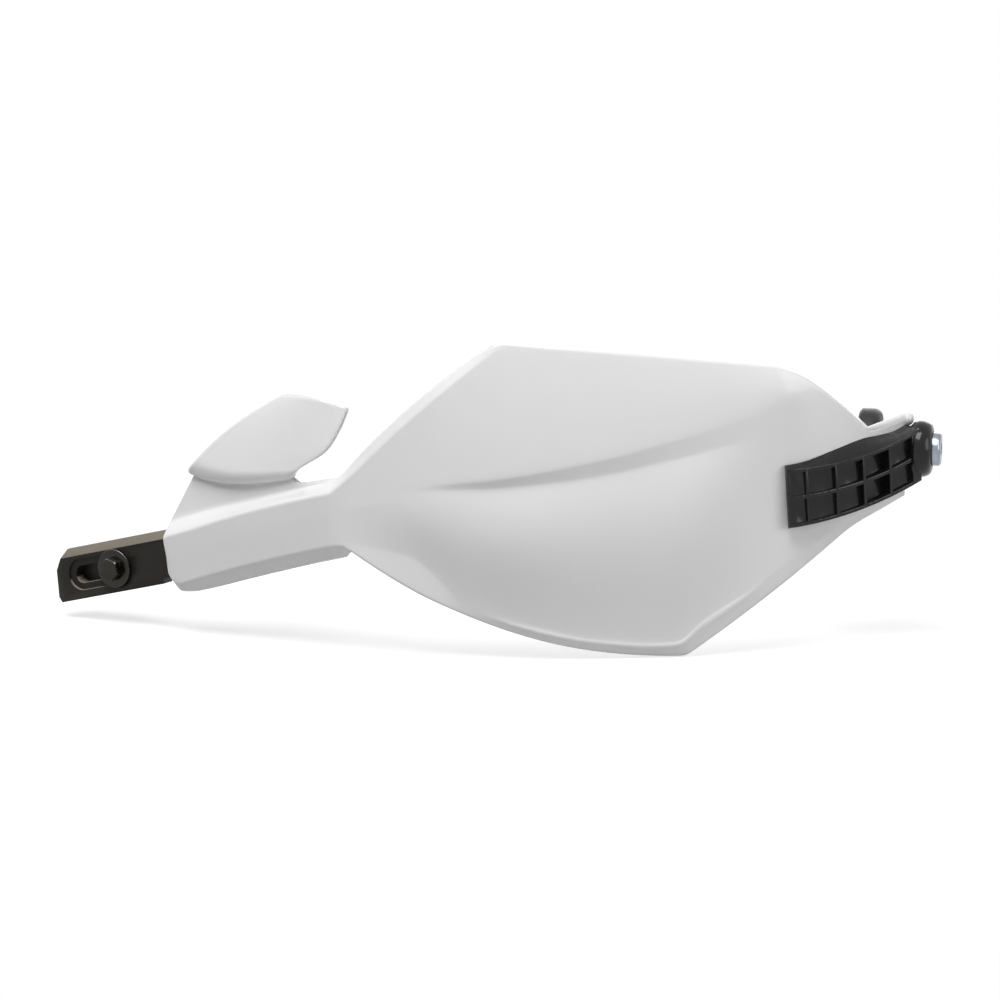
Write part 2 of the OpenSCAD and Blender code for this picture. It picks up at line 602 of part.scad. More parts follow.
head_d = bolt_d * 1.64;
head_k = 5;
bolt_seat = boss_to - head_sink;
bush_to = bolt_seat - washer_t;
cone_len = 13;
cone_from = -plug_len - cone_len + 3;
module end_bolt() {
    color(zinc) translate([bolt_seat, 0, 0]) on_bar() difference() {
        union() {
            rotate_extrude($fn = 64)
                polygon([[0, 0], [head_d / 2, 0], [head_d / 2, head_k - 0.7],
                    [head_d / 2 - 0.7, head_k], [0, head_k]]);
            translate([0, 0, cone_from - bolt_seat + 1])
                cylinder(h = bolt_seat - cone_from, d = bolt_d, $fn = 64);
        }
        translate([0, 0, head_k - 2.4]) hex(bolt_d * 0.62, 4);
    }
}
module end_washer() {
    color(zinc) translate([bush_to, 0, 0]) on_bar() ring(head_d + 1, bolt_d + 0.4, washer_t);
}
module end_bush() {
    color(zinc) translate([hub_from, 0, 0]) on_bar() ring(bush_d, bolt_d + 0.4, bush_to - hub_from);
}
// Flat on the spacer's flange that clears the shield's back: where, its turn in plan and its gap
clear_x = 2;
clear_turn = 49.8;
clear_gap = 0.7;
// How far the expander's neck sits in the spacer, and how far its slits run
neck_in = 0.5;
slit_len = 0.42 * plug_len;
module end_spacer() {
    color([0.2, 0.2, 0.21]) difference() {
        on_bar() rotate_extrude($fn = 96)
            polygon([[bolt_d / 2 + 0.3, neck_in], [plug_d / 2 + 0.1, neck_in],
                [plug_d / 2 + 0.1, 0], [flange_d / 2 - 1, 0], [flange_d / 2, 1],
                for (a = [0:18:90])
                    [flange_d / 2 - 2.6 * (1 - cos(a)), flange_t - 3.2 * (1 - sin(a))],
                [hub_d / 2, flange_t],
                [hub_d / 2, hub_from], [bolt_d / 2 + 0.3, hub_from]]);
        translate([clear_x, plan_y(clear_x), -flange_d]) rotate([0, 0, clear_turn])
            translate([-flange_d, wall + clear_gap - flange_d, 0]) cube(2 * flange_d * [1, 0.5, 1]);
    }
}
module expander_sleeve() {
    slit = 1.6;
    color([0.2, 0.2, 0.21]) difference() {
        translate([-plug_len, 0, 0]) on_bar() difference() {
            union() {
                cylinder(h = plug_len, d = plug_d, $fn = 64);
                cylinder(h = plug_len + neck_in, d = plug_d - 0.4, $fn = 64);
            }
            translate([0, 0, -1]) cylinder(h = plug_len + 2, d = bolt_d + 0.8, $fn = 48);
            translate([0, 0, -0.01]) cylinder(h = 12, d1 = plug_d - 2, d2 = bolt_d + 0.8, $fn = 64);
        }
        for (a = [0, 90]) rotate([a, 0, 0]) translate([-plug_len - 1, -slit / 2, -plug_d])
            cube([slit_len + 1, slit, 2 * plug_d]);
    }
}
module expander_cone() {
    color(zinc) translate([cone_from, 0, 0]) on_bar() difference() {
        union() {
            cylinder(h = 3, d = plug_d - 0.6, $fn = 64);
            translate([0, 0, 2.9]) cylinder(h = 7.1, d = plug_d - 2.4, $fn = 64);
            translate([0, 0, 10]) cylinder(h = 3, d1 = plug_d - 2.4, d2 = plug_d - 3.9, $fn = 64);
        }
        translate([0, 0, -1]) cylinder(h = cone_len + 2, d = bolt_d + 0.04, $fn = 48);
    }
}

// Tab screws

module tab_washer(k) {
    color(zinc) on_tab(k) translate([0, 0, tab_seat]) ring(10, tab_screw_d + 0.3, 1);
}
module tab_screw(k) {
    color(zinc) on_tab(k) translate([0, 0, tab_seat + 1])
        cap_screw(tab_screw_d, 5.6, 7, 2.6, 2.5);
}

hand_shield();
inner_bracket();
slot_bolt();
slot_washer_front();
slot_plate();
slot_nut();
arm_insert(0);  // arm_insert_1
arm_insert(1);  // arm_insert_2
bracket_screw(0);  // bracket_screw_1
bracket_screw(1);  // bracket_screw_2
bracket_washer(0);  // bracket_washer_1
bracket_washer(1);  // bracket_washer_2
end_bracket();
end_bush();
end_bolt();
end_washer();
end_spacer();
expander_sleeve();
expander_cone();
tab_screw(0);  // tab_screw_1
tab_screw(1);  // tab_screw_2
tab_washer(0);  // tab_washer_1
tab_washer(1);  // tab_washer_2
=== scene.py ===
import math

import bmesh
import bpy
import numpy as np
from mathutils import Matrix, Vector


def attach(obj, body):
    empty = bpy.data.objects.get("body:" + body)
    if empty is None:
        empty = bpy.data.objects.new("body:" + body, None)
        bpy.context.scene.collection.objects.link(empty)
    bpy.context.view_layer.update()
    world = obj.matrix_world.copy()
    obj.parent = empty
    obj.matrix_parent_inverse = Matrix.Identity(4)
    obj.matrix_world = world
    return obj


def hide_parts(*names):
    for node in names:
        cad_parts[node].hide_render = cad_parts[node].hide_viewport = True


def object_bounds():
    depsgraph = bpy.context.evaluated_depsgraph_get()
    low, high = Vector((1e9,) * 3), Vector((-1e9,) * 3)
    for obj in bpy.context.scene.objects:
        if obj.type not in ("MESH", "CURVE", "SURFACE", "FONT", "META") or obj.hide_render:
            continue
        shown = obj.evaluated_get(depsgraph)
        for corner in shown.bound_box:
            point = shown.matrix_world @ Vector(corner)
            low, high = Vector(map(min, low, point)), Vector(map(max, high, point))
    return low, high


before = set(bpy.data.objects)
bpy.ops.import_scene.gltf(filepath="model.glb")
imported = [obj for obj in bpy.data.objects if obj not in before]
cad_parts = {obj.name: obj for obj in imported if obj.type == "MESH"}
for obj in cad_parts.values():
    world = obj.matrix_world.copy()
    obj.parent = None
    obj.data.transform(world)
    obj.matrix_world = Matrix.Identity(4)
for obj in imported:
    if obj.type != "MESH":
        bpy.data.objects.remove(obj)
cad_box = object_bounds()

# %% [markdown]
# This lesson dresses a motorcycle hand guard. A white moulded shield stands in front of the
# rider's hand. A flat black bracket holds its inner end, and a ribbed black bracket with a long
# bolt holds its outer end in the handlebar. The solids come from the CAD program and stay where
# they are. The shield gets a finer mesh here, because its soft curved faces show every flat facet.

MM = 0.001
scene = bpy.context.scene
print("frame:", len(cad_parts), "nodes, box", [[round(v, 4) for v in c] for c in cad_box])

# %% [markdown]
# The camera stands where the photographer stood: 12 degrees to the right of the guard's front and
# 10 degrees above it, with a long lens, so that near and far parts keep their proportions. The
# place was worked out from points that the photograph and the CAD part share.

# %% Camera
lens = bpy.data.cameras.new("photo_lens")
lens.sensor_width = 36
lens.lens = 121.212
lens.clip_end = 20
camera = bpy.data.objects.new("photo_camera", lens)
camera.location = (0.132705, -1.300505, 0.207938)
camera.rotation_euler = (math.radians(80), 0, math.radians(12))
scene.collection.objects.link(camera)
scene.camera = camera
print("camera at", tuple(round(v, 3) for v in camera.location))

# %% [markdown]
# The shield has hardly a straight edge. Each edge and crease is a smooth curve through a few
# points, and the same few helpers as in the CAD source draw them all. Curves, rather than
# vertices pushed about by hand, keep the faces smooth and the mesh near the CAD part: 0.4 mm
# away in the mean, and up to 2.6 mm on the lower edge, which was set back to match the
# photograph's shading.

# %% Curve helpers
def lerp(a, b, t):
    return a + (b - a) * t


def fade(x, start, end):
    t = min(max((x - start) / (end - start), 0), 1)
    return t * t * (3 - 2 * t)


def slope(p, k):
    a, b = max(k - 1, 0), min(k + 1, len(p) - 1)
    return (p[b][1] - p[a][1]) / (p[b][0] - p[a][0])


def curve(p, x):
    k = max([0] + [i for i in range(len(p) - 1) if x >= p[i][0]])
    w = p[k + 1][0] - p[k][0]
    t = min(max((x - p[k][0]) / w, 0), 1)
    value = p[k][1] * (1 + 2 * t) * (1 - t) ** 2 + slope(p, k) * w * t * (1 - t) ** 2
    return value + p[k + 1][1] * t * t * (3 - 2 * t) - slope(p, k + 1) * w * t * t * (1 - t)


def bowed(a, b, bow, x):
    t = (x - a[0]) / (b[0] - a[0])
    u = min(max(t, 0), 1)
    return a[1] + (b[1] - a[1]) * t + bow * 4 * u * (1 - u)


def soft_min(a, b, r):
    h = max(r - abs(a - b), 0) / r
    return min(a, b) - h * h * r / 4


def soft_max(a, b, r):
    return -soft_min(-a, -b, r)


print("two edges that meet at 2 mm, blended over 1 mm, meet at", soft_min(2, 2, 1), "mm")

# %% [markdown]
# Seen from above, the arm runs straight and the panel curves back towards the bar end. Seen from
# the front, the arm's face is a long strip with one round corner. All lengths here are
# millimetres from the centre of the bar end, and they turn into metres when the mesh is made.

# %% Plan and arm of the shield
WAIST, ARM_END, TAB_END = -190, -266, 17.8
ARM_FROM, ARM_TURN = -195, math.radians(17.65)
ARM_CORNER = 7
FACE_MID, FACE_BELOW, FACE_ABOVE = -44.1, 12.65, 7.65
PLAN = [[-215, -71.636], [-195, -78], [-175, -80.4], [-150, -80.7], [-110, -74.5], [-70, -61.5],
    [-45, -52.5], [-23.8, -42.9], [-16.4, -37.9], [-6.9, -30.9], [2, -22.8], [9.6, -13.8],
    [16.1, -4.6], [19, -0.4]]


def plan_y(x):
    return PLAN[1][1] + (ARM_FROM - x) * math.tan(ARM_TURN) if x < ARM_FROM else curve(PLAN, x)


def arm_low(x):
    return bowed([ARM_END, FACE_MID - FACE_BELOW], [WAIST, -32.1], 1.2, x)


def arm_high(x):
    return bowed([ARM_END, FACE_MID + FACE_ABOVE], [WAIST, -11], 1.7, x)


def corner(x):
    s = min(max(x - ARM_END, 0), ARM_CORNER)
    return ARM_CORNER - math.sqrt(ARM_CORNER ** 2 - (ARM_CORNER - s) ** 2)


print("arm face at its outer end:", round(arm_high(ARM_END) - arm_low(ARM_END), 1), "mm high")

# %% [markdown]
# The panel's outline runs from corner to corner: waist, peak, shoulder and tab above, waist, keel
# and tab below. Each run between two corners is slightly bowed, and where two runs meet they are
# blended over a few millimetres, because a moulder never leaves a sharp corner. The bevelled rim
# along the top changes its width on the way.

# %% Upper and lower edges
PEAK, SHOULDER, KEEL = [-128.5, 47.2], [-23, 36], [-60, -75.6]
WAIST_LOW, WAIST_HIGH = [-188, -32.6], [WAIST, -5.6]
TAB_TOP, TAB_LOW = [4.5, 10.8], [0, -27]
BELLY_BOW, HEEL_BOW, RISE_BOW, TOP_BOW, SHOULDER_BOW = -11.2, -1.4, 3.4, 0.6, 2
KEEL_SOFT, NOSE_SOFT, PEAK_SOFT, SHOULDER_SOFT, TAB_SOFT = 1.4, 2, 2, 5, 1.5
TAB_SLOPE, NOSE_SLOPE, NOSE_FROM = 0.25, 0.47, -20
RIM = [[-266, 5], [-228, 3.6], [-206, 2.6], [-190, 3.6], [-180, 5.2], [-150, 4.8], [-130, 3],
    [-110, 1.6], [20, 1.4]]


def rim_w(x):
    return curve(RIM, x)


def tab_rim(x):
    return TAB_TOP[1] + (x - TAB_TOP[0]) * TAB_SLOPE


def z_low(x):
    belly = bowed(WAIST_LOW, KEEL, BELLY_BOW, x)
    heel = bowed(KEEL, TAB_LOW, HEEL_BOW, x)
    if x < WAIST_LOW[0]:
        return min(arm_low(x) + corner(x), WAIST_LOW[1])
    if x < NOSE_FROM:
        return soft_max(belly, heel, KEEL_SOFT)
    return soft_min(heel, TAB_LOW[1] + (x - TAB_LOW[0]) * NOSE_SLOPE, NOSE_SOFT)


def z_high(x):
    rise = bowed(WAIST_HIGH, PEAK, RISE_BOW, x)
    if x < WAIST + 1:
        return max(arm_high(x) + rim_w(x), rise)
    top = soft_min(rise, bowed(PEAK, SHOULDER, TOP_BOW, x), PEAK_SOFT)
    top = soft_min(top, bowed(SHOULDER, TAB_TOP, SHOULDER_BOW, x), SHOULDER_SOFT)
    return soft_max(top, tab_rim(x) - 2, TAB_SOFT)


print("panel height at its peak:", round(z_high(PEAK[0]) - z_low(PEAK[0]), 1), "mm")

# %% [markdown]
# A few lines run along the shield: a ledge above the lower edge, the crease, the top of its step,
# and the bevel along the upper edge. Each is a height that changes along the shield, with how far
# it stands proud of the plan. The lower edge is tucked back under a rounded lip, the belly bulges,
# and the crease is a shallow step that fades out at both ends. The arm's lower edge lies a little
# further back than its upper one.

# %% Feature lines
LEDGE = [[-190, 0.8], [-178, 7], [-160, 13], [-152, 10], [-142, 5], [-112, 4.8], [-90, 5],
    [-64, 5.8], [-55, 9], [-37, 7.8], [-20, 7], [0, 4], [18, 2]]
CREASE = [[-266, -42], [-228, -31], [-190, -20], [-165, -12], [-153, -9.4], [-127, -7.8],
    [-90, -3.4], [-54, 4.6], [-36, 9.8], [-22, 14.5], [-10, 10], [4, 1], [18, 1]]
STEP = [[-266, 2.5], [-153, 2], [-127, 3.4], [-90, 6], [-54, 7.6], [-22, 8.4], [-8, 5], [18, 3]]
EDGE_ON = [[-190, 0], [-178, 0.2], [-160, 0.54], [-142, 1], [-110, 1.28], [-60, 1.28],
    [-20, 0.6], [0, 0], [18, 0]]
LEDGE_ON = [[-190, 0], [-178, 0.22], [-160, 0.5], [-142, 0.85], [-110, 1], [-60, 1], [-24, 0.5],
    [-4, 0], [18, 0]]
TUCK, BEVEL_BACK, PANEL_BACK = 6, 8, 2.4


def crease_on(x):
    return fade(x, -162, -120) * (1 - fade(x, -30, -9))


def lip_on(x):
    return fade(x, -140, -114) * (1 - fade(x, -48, -28))


def belly_on(x):
    return fade(x, -182, -112) * (1 - fade(x, -62, -27))


def rim_back(x):
    to_peak = 1 - 0.85 * fade(x, -142, -122)
    panel = PANEL_BACK * fade(x, -196, -176) * to_peak * (1 - fade(x, -20, 0))
    return 0 if x > 0 else BEVEL_BACK * (1 - fade(x, -196, -176)) + panel


print("rim set back on the arm, before and past the peak:",
    [round(rim_back(x), 2) for x in (-230, -150, -80)], "mm")

# %% [markdown]
# Below the arm a hem turns down and back, and above it an upright plate carries the deflector.
# On the real moulding these run into the arm with soft corners, so here they belong to the same
# surface: one grid of points from the hem, over the arm, to the plate's top.

# %% Hem and plate
HEM = [[-263.7, 2.2], [-261.5, 3.4], [-253, 5.7], [-230, 6.4], [-188, 6]]
HEM_TOP, HEM_SLOPE = -31.5, 0.14
NOTCH = [[-260, -8.5], [-213, -8.5], [-208.5, -10.8], [-204, -10.2], [-197, -8.6], [-191, -7.6]]
PLATE_SHIFT, PLATE_RUN = 12.7, 75


def hem_foot(x):
    return min(arm_low(x) + corner(x), HEM_TOP + (x - WAIST) * HEM_SLOPE) - curve(HEM, x)


def hem_drop(x):
    return (z_low(x) - hem_foot(x)) * fade(x, -264.4, -261.5) * (1 - fade(x, -187.8, -184.2))


def plate_shift(x):
    return lerp(PLATE_SHIFT, 0, min(max((x - ARM_END) / PLATE_RUN, 0), 1))


def plate_top(x):
    return max(curve(NOTCH, x + plate_shift(x)), z_high(x)) if x < NOTCH[-1][0] else z_high(x)


print("at the arm's middle the hem drops", round(hem_drop(-230), 1), "mm and the plate rises",
    round(plate_top(-230) - z_high(-230), 1), "mm")

# %% [markdown]
# One upright section of the front joins those lines, straight or with a bulge between two of
# them. A short Gaussian blur then rounds its corners the way a polished mould does. How far each
# line stands out was found by comparing this shading with the photograph's, so these depths are
# guesses that look right, and not measures.

# %% Section of the front
STEP_OUT, CREASE_OUT, BULGE_OUT, LIP_OUT, ARCH_OUT = 2.2, 0.5, 4.2, 0.9, 0.6
ARM_LEAN, LEAN_AT_CREASE, LEAN_AT_STEP = 1.3, 0.3, 0.2
TOP_BACK, HEM_LEAN, PLATE_LEAN = 1.4, 0.68, 0.07
BLUR, BLUR_STEP = 0.6, 0.15


def front_line(x):
    low, high, crest = z_low(x), z_high(x), plate_top(x)
    zl, zc = low + curve(LEDGE, x), curve(CREASE, x)
    zu, zr = zc + curve(STEP, x), high - rim_w(x)
    lean = ARM_LEAN * (1 - fade(x, -208, -180))
    edge_out = -TUCK * max(curve(EDGE_ON, x), 0) - lean
    ledge_out = -TUCK * max(curve(LEDGE_ON, x), 0) - lean
    crease_out = CREASE_OUT * crease_on(x) - LEAN_AT_CREASE * lean
    step_out = STEP_OUT * crease_on(x) * (1 - 0.5 * fade(x, -90, -35)) - LEAN_AT_STEP * lean
    rim_out = -TOP_BACK * fade(x, -170, -120) * (1 - fade(x, -40, -5))
    t = np.linspace(0, 1, 17)
    arch, bulge, ridge = 4 * t * (1 - t), np.sin(np.pi * t ** 1.3), np.sin(np.pi * t ** 3)
    drop = hem_drop(x)
    z = [low - drop - 0.01, *lerp(low, zl, t[:-1]), *lerp(zl, zc, t), *lerp(zu, zr, t), high,
        crest + 0.01]
    out = [edge_out - HEM_LEAN * drop,
        *(lerp(edge_out, ledge_out, t) + LIP_OUT * lip_on(x) * ridge)[:-1],
        *(lerp(ledge_out, crease_out, t) + BULGE_OUT * belly_on(x) * bulge),
        *(lerp(step_out, rim_out, t) + ARCH_OUT * crease_on(x) * arch),
        rim_out - rim_back(x), rim_out - rim_back(x) - PLATE_LEAN * (crest - high)]
    return np.array(z), np.array(out), [low - drop, low, zl, zc, zu, zr, high, crest]


def blurred(z, out):
    grid = np.arange(z[0], z[-1] + BLUR_STEP, BLUR_STEP)
    flat = np.interp(grid, z, out)
    reach = int(3 * BLUR / BLUR_STEP)
    left = flat[0] + (flat[1] - flat[0]) * np.arange(-reach, 0)
    right = flat[-1] + (flat[-1] - flat[-2]) * np.arange(1, reach + 1)
    kernel = np.exp(-0.5 * (np.arange(-reach, reach + 1) * BLUR_STEP / BLUR) ** 2)
    return grid, np.convolve(np.concatenate([left, flat, right]), kernel / kernel.sum(), "valid")


print("section at the panel's middle:", len(blurred(*front_line(-100)[:2])[0]), "blurred points")

# %% [markdown]
# Rows between two lines are spaced by a cosine, closest near the lines, where the form bends
# most. The rear surface is the front pushed back by the wall, a little more where the front
# slopes, so that the wall keeps its thickness as a moulder would want. The last millimetre at
# both rims turns back on an arc.

# %% Grid of the shield
WALL, THICKEST = 3, 1.5
ROUND = 1.1
ROWS_BETWEEN = [6, 10, 26, 9, 16, 8, 8]
RIM_ROWS = [1, 0.7, 0.42, 0.2, 0.06, 0]
SKEW = [[-9, 0], [0, -0.5], [7.6, -1.6], [12.6, -0.8]]
SKEW_RUN = 14


def row_heights(lines):
    low, high = lines[0] + ROUND, lines[-1] - ROUND
    marks = np.maximum.accumulate(np.clip(lines, low, high))
    rows = [lines[0] + ROUND * d for d in RIM_ROWS[::-1][:-1]]
    for a, b, n in zip(marks, marks[1:], ROWS_BETWEEN):
        rows += [lerp(a, b, 0.5 - 0.5 * math.cos(math.pi * k / n)) for k in range(n)]
    return np.array(rows + [lines[-1] - ROUND * d for d in RIM_ROWS])


def column(x):
    z, out, lines = front_line(x)
    grid, soft = blurred(z, out)
    rows = row_heights(lines)
    push = np.interp(rows, grid, soft)
    tilt = np.interp(rows, grid, np.gradient(soft, grid))
    up = np.clip((rows - lines[-2]) / max(lines[-1] - lines[-2], 0.01), 0, 1)
    skew = 1 - fade(x, ARM_END, ARM_END + SKEW_RUN)
    xs = [x + skew * curve(SKEW, min(r, lines[-2]) - FACE_MID) + plate_shift(x) * u
        for r, u in zip(rows, up)]
    turn = np.array([plan_y(v + 0.5) - plan_y(v - 0.5) for v in xs])
    front = np.array([plan_y(v) for v in xs]) - push
    depth = WALL * np.minimum(np.sqrt(1 + turn ** 2 + tilt ** 2), THICKEST)
    near = np.minimum(rows - rows[0], rows[-1] - rows)
    arc = ROUND - np.sqrt(ROUND ** 2 - np.clip(ROUND - near, 0, ROUND) ** 2)
    return np.array([xs, front + arc, rows]).T, np.array([xs, front + depth - arc, rows]).T


stops = [ARM_END, ARM_END + 0.2, ARM_END + 0.5, ARM_END + 1, *np.arange(-264.4, -189, 1.0),
    *np.arange(-189, -183.8, 0.3), *np.arange(-183, TAB_END - 0.4, 1.2), TAB_END]
sides = [column(x) for x in stops]
print("shield grid:", len(sides), "columns of", len(sides[0][0]), "points on each side")

# %% [markdown]
# A closed shell is two sheets of quads, front and rear, joined round their border. Where the
# plate has no height its rows fall on one another, and merging them by distance leaves a clean
# strip.

# %% Shell maker
MERGE = 0.00001


def solid(name, points, faces):
    mesh = bpy.data.meshes.new(name)
    mesh.from_pydata([tuple(p) for p in np.asarray(points) * MM], [], faces)
    work = bmesh.new()
    work.from_mesh(mesh)
    bmesh.ops.remove_doubles(work, verts=work.verts, dist=MERGE)
    bmesh.ops.recalc_face_normals(work, faces=work.faces)
    work.to_mesh(mesh)
    work.free()
    obj = bpy.data.objects.new(name, mesh)
    scene.collection.objects.link(obj)
    return obj


def shell(name, front, rear):
    n, m = len(front) - 1, len(front[0]) - 1
    s = (n + 1) * (m + 1)

    def at(i, j):
        return i * (m + 1) + j

    faces = []
    for i in range(n):
        for j in range(m):
            quad = [at(i, j), at(i, j + 1), at(i + 1, j + 1), at(i + 1, j)]
            faces += [quad, [s + k for k in reversed(quad)]]
        faces.append([at(i, 0), at(i + 1, 0), s + at(i + 1, 0), s + at(i, 0)])
        faces.append([at(i + 1, m), at(i, m), s + at(i, m), s + at(i + 1, m)])
    for j in range(m):
        faces.append([at(0, j + 1), at(0, j), s + at(0, j), s + at(0, j + 1)])
        faces.append([at(n, j), at(n, j + 1), s + at(n, j + 1), s + at(n, j)])
    return solid(name, [p for side in (front, rear) for row in side for p in row], faces)


shield = shell("shield", [f for f, r in sides], [r for f, r in sides])
print("shield shell:", len(shield.data.polygons), "faces")

# %% [markdown]
# Round bars, bosses and the hem's foot are tubes: rings of points joined one to the next and
# closed at both ends. The same maker serves all of them.

# %% Tube maker
def tube(name, rings):
    n, m = len(rings) - 1, len(rings[0])
    faces = [list(range(m))[::-1], [n * m + k for k in range(m)]]
    for i in range(n):
        for k in range(m):
            l = (k + 1) % m
            faces.append([i * m + k, i * m + l, (i + 1) * m + l, (i + 1) * m + k])
    return solid(name, [p for ring in rings for p in ring], faces)


def ring_about(c, axis, radius, count=48):
    side = Vector(axis).orthogonal().normalized()
    up = Vector(axis).normalized().cross(side)
    turns = [2 * math.pi * k / count for k in range(count)]
    return [Vector(c) + (math.cos(t) * side + math.sin(t) * up) * float(radius) for t in turns]


def round_bar(name, start, axis, profile, count=48):
    a = Vector(axis).normalized()
    return tube(name, [ring_about(Vector(start) + a * d, a, r, count) for d, r in profile])


print("tube maker ready")

# %% [markdown]
# The hem's foot is a flange that runs back under the arm, the usual way to stiffen such a
# moulding. Its back edge is rounded. How far back it runs is a guess, since the photograph shows
# only its front.

# %% Hem flange
def flange_ring(x):
    y, z = plan_y(x), hem_foot(x)
    back = y + lerp(6.5, 19, fade(x, -264.4, -261.3))
    edge = [(back - 1 + math.cos(a), z + 1.8 + math.sin(a)) for a in np.linspace(-1.571, 1.571, 7)]
    return [(x, y + 5.6, z + 0.12), (x, back - 1.5, z + 0.77), *[(x, b, c) for b, c in edge],
        (x, y + 6.8, z + 2.3), (x, y + 5.6, z + 2.6)]


flange = tube("hem_flange", [flange_ring(x) for x in
    [-264.2, -263.4, -262.6, -261.8, -261.2, *np.arange(-260, -188.6, 1.5), -188.2]])
print("hem flange:", len(flange.data.polygons), "faces")

# %% [markdown]
# The deflector is a small wing in front of the plate. Its outline is a patch between four bowed
# edges, it leans back towards its top, and its lower edge rolls back against the plate. Two
# numbers from 0 to 1, s along the wing and t up it, name each point of the patch.

# %% Form of the deflector
TIP, TOP, END, FOOT = [-259.8, -11.2], [-217.2, 22.2], [-189, 19.2], [-211.5, -9.8]
BULGE = [[0, 0], [0.14, -0.6], [0.4, 4.8], [0.7, 3.8], [1, 0.4]]
FIN_LONG, FIN_TALL, FIN_CORNER = 45, 35, 2.2
FOOT_BACK, CREST_BACK, FIN_BELLY = 5, 12, 1.5
CURL, CURL_TO = 3.2, 0.15


def fin_xz(s, t):
    wave, lift = math.sin(math.pi * s), math.sin(math.pi * t)
    low = np.array([lerp(TIP[0], FOOT[0], s),
        lerp(TIP[1], FOOT[1], s) - 3.2 * math.sin(math.pi * s ** 0.8)])
    high = np.array([lerp(TOP[0], END[0], s), lerp(TOP[1], END[1], s) + 1.6 * wave])
    left = np.array([lerp(TIP[0], TOP[0], t) - 2.2 * lift, lerp(TIP[1], TOP[1], t) + 1.6 * lift])
    right = np.array([lerp(FOOT[0], END[0], t) + curve(BULGE, t), lerp(FOOT[1], END[1], t)])
    flat = lerp(lerp(np.array(TIP), np.array(FOOT), s), lerp(np.array(TOP), np.array(END), s), t)
    return lerp(low, high, t) + lerp(left, right, s) - flat


def rounded(s, t):
    v = np.array([max(FIN_CORNER - min(s, 1 - s) * FIN_LONG, 0),
        max(FIN_CORNER - min(t, 1 - t) * FIN_TALL, 0)])
    pull = v * (1 - v.max() / max(np.linalg.norm(v), 0.001))
    return (s - math.copysign(pull[0] / FIN_LONG, s - 0.5),
        t - math.copysign(pull[1] / FIN_TALL, t - 0.5))


def fin_at(s, t):
    s, t = rounded(s, t)
    x, z = fin_xz(s, t)
    curl = CURL * max(1 - t / CURL_TO, 0) ** 2
    back = lerp(FOOT_BACK, CREST_BACK, t) - FIN_BELLY * math.sin(math.pi * s)
    return np.array([x, plan_y(x) + back + curl, z])


print("deflector's middle at", [round(float(v), 1) for v in fin_at(0.5, 0.5)], "mm")

# %% [markdown]
# Its front is a grid whose rows crowd together at the rims. The rear is the front pushed back by
# the wall, and all four rims are rounded by thinning the wall towards them on an arc.

# %% Deflector
def crowded(length, count):
    near = np.array([0, 0.06, 0.25, 0.55, 1]) * ROUND / length
    return [*near, *np.linspace(near[-1], 1 - near[-1], count)[1:-1], *(1 - near[::-1])]


fin_s, fin_t = crowded(FIN_LONG, 40), crowded(FIN_TALL, 44)
fin = np.array([[fin_at(s, t) for t in fin_t] for s in fin_s])
along, across = np.gradient(fin, axis=0), np.gradient(fin, axis=1)
facing = np.cross(along, across)
thick = WALL * np.minimum(np.linalg.norm(facing, axis=2) / np.abs(facing[:, :, 1]), THICKEST)
rim = np.array([[min(min(s, 1 - s) * FIN_LONG, min(t, 1 - t) * FIN_TALL) for t in fin_t]
    for s in fin_s])
arc = ROUND - np.sqrt(ROUND ** 2 - np.clip(ROUND - rim, 0, ROUND) ** 2)
fin_front, fin_rear = fin.copy(), fin.copy()
fin_front[:, :, 1] += arc
fin_rear[:, :, 1] += thick - arc
deflector = shell("deflector", fin_front, fin_rear)
print("deflector:", len(deflector.data.polygons), "faces")

# %% [markdown]
# The tab at the outer end has a rolled rim that ends in a round nose. Behind it stands a hub
# round the bar-end bolt, and the spacer's barrel ends against that hub.

# %% Rolled rim and hub
ROLL_THIN, ROLL, ROLL_FROM, ROLL_TO, ROLL_GROWS = 0.9, 2.8, 4.6, 18, 8
BAR_AXIS = (1, 0, 0)
HUB_FROM = 9


def roll_r(x):
    return lerp(ROLL_THIN, ROLL, min((x - ROLL_FROM) / ROLL_GROWS, 1))


def roll_ring(x, radius, ahead=0):
    r = roll_r(x)
    return ring_about((x + ahead, plan_y(x) + 1.05 * r, tab_rim(x) - r), BAR_AXIS, radius, 28)


roll = tube("rolled_rim", [roll_ring(x, roll_r(x)) for x in np.linspace(ROLL_FROM, ROLL_TO, 24)]
    + [roll_ring(ROLL_TO, ROLL * math.cos(a), ROLL * math.sin(a))
    for a in np.linspace(0.15, 1.5, 9)])
hub = round_bar("hub", (HUB_FROM, 0, 0), BAR_AXIS, [(0, 8.6), (0.4, 9), (8.6, 9), (9, 8.6)], 72)
print("rolled rim:", len(roll.data.polygons), "faces, and hub:", len(hub.data.polygons), "faces")

# %% [markdown]
# Bosses on the arm take the threaded inserts, and pads on the tab take the screws of the ribbed
# bracket. They stand square to the arm and to the tab, so each pair has a direction of its own.

# %% Bosses and pads
ARM_SCREWS, ARM_ROOT = (44, 70), -295.2
swing, climb = -ARM_TURN, math.radians(-14.2)
ARM_X = Vector((math.cos(swing) * math.cos(climb), math.sin(swing) * math.cos(climb),
    -math.sin(climb)))
ARM_Y = Vector((-math.sin(swing), math.cos(swing), 0))
ARM_AT = Vector((ARM_ROOT, plan_y(ARM_ROOT), -52.95))
bosses = [round_bar(f"boss_{k}", ARM_AT + ARM_X * x + ARM_Y * 2.1, ARM_Y, [(0, 5.5), (5.4, 5.5)])
    for k, x in enumerate(ARM_SCREWS)]

